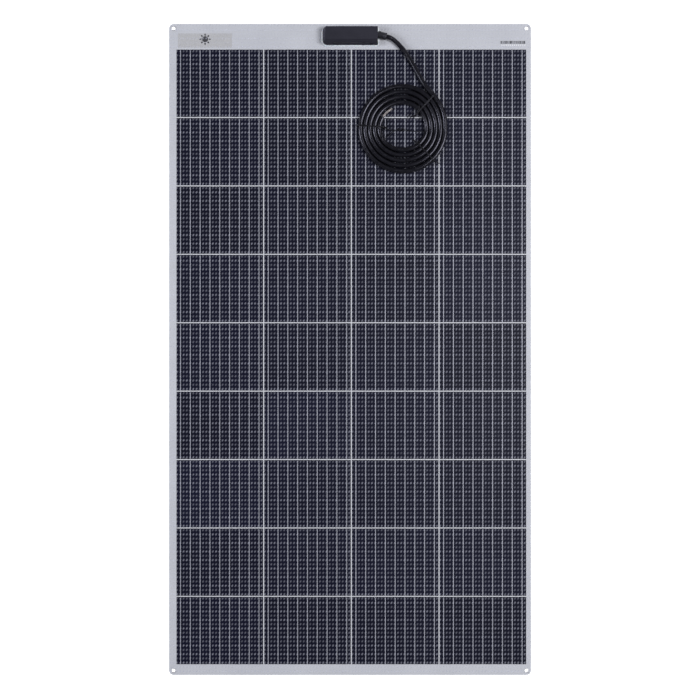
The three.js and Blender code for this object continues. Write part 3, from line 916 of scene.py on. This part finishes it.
def make_ribbons(sections, material):
    """Nine ribbons over each cell, which dip in the gap and run on under the next cell."""
    gap = ROW_BOTTOM[1] - ROW_TOP[2]
    under_next = gap + RIBBON_DIP
    for section in sections:
        shape = Shape()
        for row in range(max(1, section["rows"][0] - 1), section["rows"][-1] + 1):
            start = ROW_TOP[row] - RIBBON_START
            end = ROW_BOTTOM[row] - (under_next if row < ROWS else gap)
            from_y, to_y = max(end, section["bottom"]), min(start, section["top"])
            if to_y - from_y < 0.1 * MM:
                continue
            ys = steps_between(from_y, to_y, STEP)
            ys += [ROW_BOTTOM[row] - d * MM for d in (0, 0.5, 1.0, 1.5)]
            ys = merged_stations([y for y in ys if from_y <= y <= to_y])
            next_cell = ROW_TOP.get(row + 1, -1) + 0.4 * MM
            stations = []
            for y in ys:
                level = ribbon_level(y, row)
                thickness = RIBBON_THICKNESS if y > next_cell else RIBBON_UNDER_CELL
                stations.append((y, level, level + thickness))
            for column in range(1, COLUMNS + 1):
                low, high = CELLS[row, column]
                pitch = (high.x - low.x - 2 * RIBBON_INSET) / (RIBBONS - 1)
                for k in range(RIBBONS):
                    x = low.x + RIBBON_INSET + k * pitch
                    shape.bar(x - RIBBON_WIDTH / 2, x + RIBBON_WIDTH / 2, stations)
        join_sheet(shape.make("ribbons_" + section["name"], material), section)


# ---- prints under the film

PRINT_LOW, PRINT_HIGH = BACKING_TOP + 0.01 * MM, BACKING_TOP + 0.05 * MM
SIGN_LOW, SIGN_HIGH = PRINT_HIGH + 0.01 * MM, PRINT_HIGH + 0.03 * MM
# Where the prints lie, in mm from the sheet's left or right side and from its top.
PATCH_LEFT, PATCH_RIGHT, PATCH_TOP, PATCH_BOTTOM = 17, 121, 18.5, 46
SUN_X, SUN_Y, SUN_RADIUS, RAYS = 69.3, 29.7, 5.8, 8
RAY_CORNERS = ((7.0, -1.9), (11.0, -0.7), (11.0, 0.7), (7.0, 1.9))
LABEL_LEFT, LABEL_RIGHT, LABEL_TOP, LABEL_BOTTOM = 58.5, 11.5, 33, 38.5
DOTS, DOT_RADIUS, DOTS_LEFT, DOTS_Y, DOT_PITCH = 12, 0.9, 56, 41, 4


def plate(shape, outline, low=PRINT_LOW, high=PRINT_HIGH):
    """A flat plate of any outline."""
    shape.rings([[(x, y, low) for x, y in outline], [(x, y, high) for x, y in outline]])


def rectangle(left, low, right, high):
    return [(left, low), (right, low), (right, high), (left, high)]


def make_patch(patch_look, ink):
    """A pale printed patch with a plain sun sign."""
    left, top = SHEET_LOW.x, SHEET_HIGH.y
    patch, sun = Shape(), Shape()
    plate(patch, rectangle(left + PATCH_LEFT * MM, top - PATCH_BOTTOM * MM, left + PATCH_RIGHT * MM,
                           top - PATCH_TOP * MM))
    settle(patch.make("printed_patch", patch_look), "laminate_back")
    x, y = left + SUN_X * MM, top - SUN_Y * MM
    plate(sun, disc(x, y, SUN_RADIUS * MM), SIGN_LOW, SIGN_HIGH)
    for k in range(RAYS):
        a = 2 * math.pi * k / RAYS
        out, side = Vector((math.cos(a), math.sin(a))), Vector((-math.sin(a), math.cos(a)))
        ray = [Vector((x, y)) + out * r * MM + side * s * MM for r, s in RAY_CORNERS]
        plate(sun, [(p.x, p.y) for p in ray], SIGN_LOW, SIGN_HIGH)
    settle(sun.make("sun_sign", ink), "laminate_back")


def make_label(ink, white):
    """A small label of plain bars and dots."""
    right, top = SHEET_HIGH.x, SHEET_HIGH.y
    bars, dots = Shape(), Shape()
    chance = random.Random(5)
    at, end = right - LABEL_LEFT * MM, right - LABEL_RIGHT * MM
    while at < end:
        width = chance.choice((0.8, 1.2, 2.4, 3.6)) * MM
        plate(bars, rectangle(at, top - LABEL_BOTTOM * MM, min(at + width, end), top - LABEL_TOP * MM))
        at += width + chance.choice((0.7, 1.1)) * MM
    settle(bars.make("label_bars", ink), "laminate_back")
    for k in range(DOTS):
        plate(dots, disc(right - (DOTS_LEFT - k * DOT_PITCH) * MM, top - DOTS_Y * MM, DOT_RADIUS * MM, 16))
    settle(dots.make("label_dots", white), "laminate_back")


# ---- eyelets and junction box

def in_mm(profile):
    return [(radius * MM, height * MM) for radius, height in profile]


def make_eyelets(material):
    """Pressed metal eyelets, rolled over on the front and back."""
    bore, wide = EYELET_BORE / MM, EYELET_FLANGE / MM
    roll = 0.55
    middle, half = (bore + wide) / 2, (wide - bore) / 2
    for name, (x, y) in zip(CORNERS, EYELET_CENTRES):
        under, top = EYELETS[name][0].z / MM, EYELETS[name][1].z / MM
        profile = [(bore, under + 1.0), (bore, top - 0.9)]
        for k in range(9):
            a = math.pi - math.pi * k / 8
            profile.append((middle + half * math.cos(a), top - roll + roll * math.sin(a)))
        profile += [(wide - 0.15, top - 0.6), (bore + 0.5, top - 0.6), (bore + 0.5, under + 0.5),
                    (wide - 0.5, under + 0.5), (wide - 0.2, under + 0.25), (wide - 0.5, under),
                    (bore + 0.4, under), (bore, under + 0.4)]
        shape = Shape()
        shape.turned(in_mm(profile), Matrix.Translation((x, y, 0)), 64)
        body = "head" if name.startswith("top") else f"row_{ROWS}"
        ring = shape.make("eyelet_ring_" + name, material, 50)
        settle(ring, "eyelet_metal", "eyelet_" + name, body=body)


def box_outline():
    """Points and outward directions round the junction box: a round left end and a square right end."""
    low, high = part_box("junction_box_base")
    corners = ((high.x, low.y, 2 * MM, -90), (high.x, high.y, 2 * MM, 0), (low.x, high.y, 9 * MM, 90),
               (low.x, low.y, 9 * MM, 180))
    points = []
    for x, y, radius, first in corners:
        cx = x - radius if x == high.x else x + radius
        cy = y - radius if y == high.y else y + radius
        for k in range(9):
            a = math.radians(first + 90 * k / 8)
            out = Vector((math.cos(a), math.sin(a)))
            points.append((Vector((cx, cy)) + out * radius, out))
    return points


# (across, up) points of the bead's section, in widths and heights of the bead; what is inside the box's
# wall, where across is negative, is in mm.
BEAD_SECTION = ((-0.4, 0.0), (1.0, 0.0), (1.02, 0.25), (0.85, 0.62), (0.5, 0.9), (0.12, 1.05), (-0.4, 1.1))
BEAD_WIDTH, BEAD_HEIGHT, BEAD_STEP = 2.5, 1.9, 2.0 * MM
BEAD_WAVES = (5, 11, 19, 31)


def make_bead(material):
    """The bead of sealant round the box's foot, laid by hand, so a little uneven."""
    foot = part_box("junction_box_base")[0].z - 0.02 * MM
    dense = []
    corners = box_outline()
    for (p, n), (q, m) in zip(corners, corners[1:] + corners[:1]):
        count = max(1, round((q - p).length / BEAD_STEP))
        dense += [(p.lerp(q, k / count), n.lerp(m, k / count).normalized()) for k in range(count)]
    chance = random.Random(3)
    phases = [chance.uniform(0, 2 * math.pi) for _ in BEAD_WAVES]
    rings = []
    for k, (p, n) in enumerate(dense):
        turn = 2 * math.pi * k / len(dense)
        uneven = sum(math.sin(turn * f + phase) for f, phase in zip(BEAD_WAVES, phases)) * 0.14
        width = (BEAD_WIDTH + uneven * 1.2) * MM
        height = (BEAD_HEIGHT + uneven * 0.8) * MM
        ring = []
        for across, up in BEAD_SECTION:
            place = p + n * across * (width if across > 0 else MM)
            ring.append((place.x, place.y, foot + height * up))
        rings.append(ring)
    shape = Shape()
    shape.rings(rings, closed=True)
    settle(shape.make("sealant_bead", material, 60), "laminate_back")


def finish_cad(node, material, bevel):
    """Puts a material and softened edges on a CAD node that stays."""
    obj = frame["nodes"][node]
    obj.data.materials.clear()
    obj.data.materials.append(material)
    stack = (
        ("WELD", {"merge_threshold": 0.005 * MM}),
        ("DECIMATE", {"decimate_type": "DISSOLVE", "angle_limit": math.radians(1.5)}),
        ("BEVEL", {"width": bevel, "segments": 3, "limit_method": "ANGLE", "angle_limit": math.radians(32)}),
        ("WEIGHTED_NORMAL", {}),
    )
    for kind, settings in stack:
        modifier = obj.modifiers.new(kind.lower(), kind)
        for key, value in settings.items():
            setattr(modifier, key, value)
    for polygon in obj.data.polygons:
        polygon.use_smooth = True


GLAND_TILT = math.radians(-14.5)
GLAND_Y, GLAND_Z = 603 * MM, 10.4 * MM
BOOT_RIBS = 4
ALONG_X = Matrix.Rotation(math.radians(90), 4, "Y")


def make_boot(material):
    """The ribbed strain relief, which leans out of the box's square end, and its neck through the wall."""
    wall = Matrix.Translation((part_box("junction_box_base")[1].x, GLAND_Y, GLAND_Z))
    profile = [(0, 0.3), (7.0, 0.3), (7.2, 0.6), (7.2, 1.8)]
    for k in range(BOOT_RIBS):
        at = 2.4 + 2.5 * k
        radius = 7.1 - 0.08 * k
        profile += [(radius - 0.8, at), (radius - 0.8, at + 0.7), (radius, at + 1.0), (radius, at + 1.9)]
    profile += [(6.3, 12.8), (6.9, 13.4), (7.0, 14.0), (7.0, 16.2), (6.7, 16.8), (6.2, 17.0), (4.65, 17.0),
                (4.6, 13.0), (0, 13.0)]
    shape = Shape()
    shape.turned(in_mm(profile), wall @ Matrix.Rotation(GLAND_TILT, 4, "Z") @ ALONG_X, 64)
    neck = [(0, -5.4), (4.9, -5.4), (5.3, -5.0), (5.35, 0.1), (0, 0.1)]
    shape.turned(in_mm(neck), wall @ ALONG_X)
    settle(shape.make("cable_boot", material, 30), "boot_rubber", "strain_relief")


def add_solder(shape, place, radius, height):
    """A flattened drop of solder."""
    profile = [(0, -0.1), (radius, -0.1), (radius, 0.1)]
    for k in range(1, 6):
        a = math.pi / 2 * k / 6
        profile.append((radius * math.cos(a), 0.1 + height * math.sin(a)))
    profile.append((0, 0.1 + height))
    shape.turned(in_mm(profile), Matrix.Translation(place), 24)


# Each terminal, and the way along X from the diode to it.
TERMINALS = {"terminal_plus": 1, "terminal_minus": -1}
DIODE_HALF = 4.75 * MM


def terminal_foot(name):
    """The place on a terminal's foot where a core is soldered."""
    low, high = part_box(name)
    return Vector(((low.x + high.x) / 2, low.y + 4 * MM, low.z + 0.8 * MM))


def make_diode(epoxy, tinned):
    low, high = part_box("bypass_diode")
    centre = (low + high) / 2
    radius, half = (high.y - low.y) / 2, DIODE_HALF
    bevel = 0.5 * MM
    profile = [(0, -half), (radius * 0.85, -half), (radius, bevel - half), (radius, half - bevel),
               (radius * 0.85, half), (0, half)]
    body = Shape()
    body.turned(profile, Matrix.Translation(centre) @ ALONG_X, 40)
    settle(body.make("diode_body", epoxy), "diode_body", "bypass_diode")
    leads = []
    for name, sign in TERMINALS.items():
        foot = terminal_foot(name)
        end = Vector((foot.x - sign * 5 * MM, centre.y, foot.z + 0.5 * MM))
        run = [centre + Vector((sign * (half - bevel), 0, 0)), centre + mm(sign * 9, 0, 0),
               Vector((end.x - sign * 3 * MM, centre.y, centre.z)), end + mm(-sign, 0, 1), end]
        leads.append((smooth_path(run, 6), 0.65 * MM, False))
    settle(wires("diode_leads", leads, tinned), "tinned_copper")


def make_inner_cores(solder, jacket, copper):
    """The cable's two cores from the gland to the terminals, and their soldered ends."""
    plus, minus = (terminal_foot(name) for name in TERMINALS)
    gland = Vector((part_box("junction_box_base")[1].x - 5 * MM, GLAND_Y, GLAND_Z))
    runs = [
        [gland + mm(0, 1.9), gland + mm(-5, 1.9, -0.4), plus + mm(8.5, 1.0, 2.6), plus + mm(3.5, 0, 1.7)],
        [gland + mm(0, -1.9), gland + mm(-6, -4, -1), mm(30, 594, 8), mm(0, 593.5, 7.5), mm(-12, 595, 7.5),
         minus + mm(4, -1.5, 1.9)],
    ]
    sleeves = [(smooth_path(run, PATH_STEPS), 1.6 * MM, False) for run in runs]
    settle(wires("inner_cores", sleeves, jacket), "cable_jacket")
    ends = []
    for run, foot in zip(runs, (plus, minus)):
        direction = (run[-1] - run[-2]).normalized()
        tip = run[-1] + direction * 3 * MM
        ends.append(([run[-1] - direction * MM, tip], 1.1 * MM, False))
        add_solder(solder, (tip.x, tip.y, foot.z), 2.6, 1.5)
    settle(wires("inner_core_ends", ends, copper), "tinned_copper")


# A foil ribbon's run up a terminal's back and over its top: mm behind its back, and mm above its foot's
# underside (the first three points) or its top.
FOIL_FROM_FLOOR = ((3.0, 0), (1.4, 0.2), (0.3, 1.4))
FOIL_FROM_TOP = ((0, -0.5), (-0.3, 0.4), (-1.2, 0.6), (-1.9, 0.1), (-2.0, -1.5))
FOIL_HALF_WIDTH, FOIL_HALF_THICKNESS = 2.5 * MM, 0.1 * MM


def make_foils(solder, tinned):
    diode_low, diode_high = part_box("bypass_diode")
    foils = Shape()
    for name, sign in TERMINALS.items():
        low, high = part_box(name)
        foot = terminal_foot(name)
        place = (foot.x - sign * 5 * MM, (diode_low.y + diode_high.y) / 2, foot.z)
        add_solder(solder, place, 1.7, 1.2)
        back, floor = high.y + 0.25 * MM, low.z - 0.25 * MM
        run = [Vector((back + y * MM, floor + z * MM)) for y, z in FOIL_FROM_FLOOR]
        run += [Vector((back + y * MM, high.z + z * MM)) for y, z in FOIL_FROM_TOP]
        rings = []
        for point, before, after in zip(run, run[:1] + run, run[1:] + run[-1:]):
            along = (after - before).normalized()
            normal = Vector((-along.y, along.x)) * FOIL_HALF_THICKNESS
            back_side, front_side = point - normal, point + normal
            left, right = foot.x - FOIL_HALF_WIDTH, foot.x + FOIL_HALF_WIDTH
            rings.append([(left, *back_side), (right, *back_side), (right, *front_side), (left, *front_side)])
        foils.rings(rings)
    settle(foils.make("foil_ribbons", tinned, 50), "tinned_copper")


def make_inside(epoxy, tinned, jacket, copper):
    """What shows when the lid is off: the diode, the cores, the foil ribbons and their solder."""
    solder = Shape()
    make_diode(epoxy, tinned)
    make_inner_cores(solder, jacket, copper)
    make_foils(solder, tinned)
    settle(solder.make("solder_joints", tinned), "tinned_copper")


# ---- studio

def make_world():
    """A soft studio: white near the horizon, dark overhead, so that flat film doesn't shine back."""
    s = Surface("studio", "Background", "worlds", Strength=0.32)
    height = s.axes(s.add("TexCoord").outputs["Generated"])[2]
    s.put(s.shader, "Color", s.tint(height, (1.0, 1.0, 1.0), (0.21, 0.215, 0.26), 0.42, 0.93))
    bpy.context.scene.world = s.material


def add_light(name, place, size, power, colour):
    data = bpy.data.lights.new(name, "AREA")
    data.shape = "RECTANGLE"
    data.size, data.size_y = size
    data.energy = power
    data.color = colour
    light = linked(name, data)
    light.location = place
    light.rotation_euler = Vector(place).to_track_quat("Z", "Y").to_euler()
    light.visible_camera = False


def make_studio():
    bpy.context.scene.view_settings.view_transform = "Standard"
    make_world()
    add_light("key_light", (2.0, 0.2, 3.0), (1.0, 2.2), 116, (0.97, 0.98, 1.0))
    add_light("fill_light", (-2.7, 0.3, 1.75), (0.8, 1.6), 66, (0.92, 0.95, 1.0))
    half, level = 30, -0.5 * MM
    corners = [(x, y, level) for x, y in rectangle(-half, -half, half, half)]
    mesh = bpy.data.meshes.new("floor")
    mesh.from_pydata(corners, [], [(0, 1, 2, 3)])
    placed(mesh, floor_surface())


# ---- build

def main():
    make_camera()
    jacket = rubber_surface("cable_jacket", (0.0018, 0.0018, 0.0030), (0.0038, 0.0038, 0.0060), 0.24, 0.34)
    copper = metal_surface("bare_copper", (0.27, 0.25, 0.25), (0.42, 0.38, 0.37), 0.5, 0.3, 0.45)
    insulation = rubber_surface("core_insulation", (0.010, 0.010, 0.011), (0.018, 0.018, 0.020), 0.4, 0.55)
    make_cable(jacket, copper, insulation)
    make_ties(rubber_surface("tie_coating", (0.001, 0.001, 0.0012), (0.002, 0.002, 0.0025), 0.35, 0.5))
    sections = make_sections()
    make_backing(sections, backing_surface())
    make_cells(sections, cell_surface())
    make_ribbons(sections, ribbon_surface())
    make_film(sections, film_surface())
    white = print_surface("white_ink", (0.80, 0.80, 0.80), (0.88, 0.88, 0.88))
    ink = print_surface("dark_ink", (0.020, 0.020, 0.024), (0.035, 0.035, 0.040))
    make_patch(print_surface("patch_print", (0.35, 0.347, 0.36), (0.41, 0.405, 0.415)), ink)
    make_label(ink, white)
    tinned = metal_surface("tinned_metal", (0.66, 0.66, 0.67), (0.80, 0.80, 0.81), 0.9, 0.28, 0.42)
    make_eyelets(metal_surface("eyelet_nickel", (0.50, 0.50, 0.53), (0.60, 0.60, 0.63), 0.4, 0.3, 0.45))
    plastic = box_surface()
    finish_cad("junction_box_base", plastic, 0.45 * MM)
    finish_cad("junction_box_lid", plastic, 0.45 * MM)
    finish_cad("terminal_plus", tinned, 0.12 * MM)
    finish_cad("terminal_minus", tinned, 0.12 * MM)
    make_bead(bead_surface())
    make_boot(rubber_surface("boot_rubber", (0.012, 0.012, 0.015), (0.022, 0.022, 0.026), 0.45, 0.6))
    make_inside(diode_surface(), tinned, insulation, copper)
    make_studio()


main()
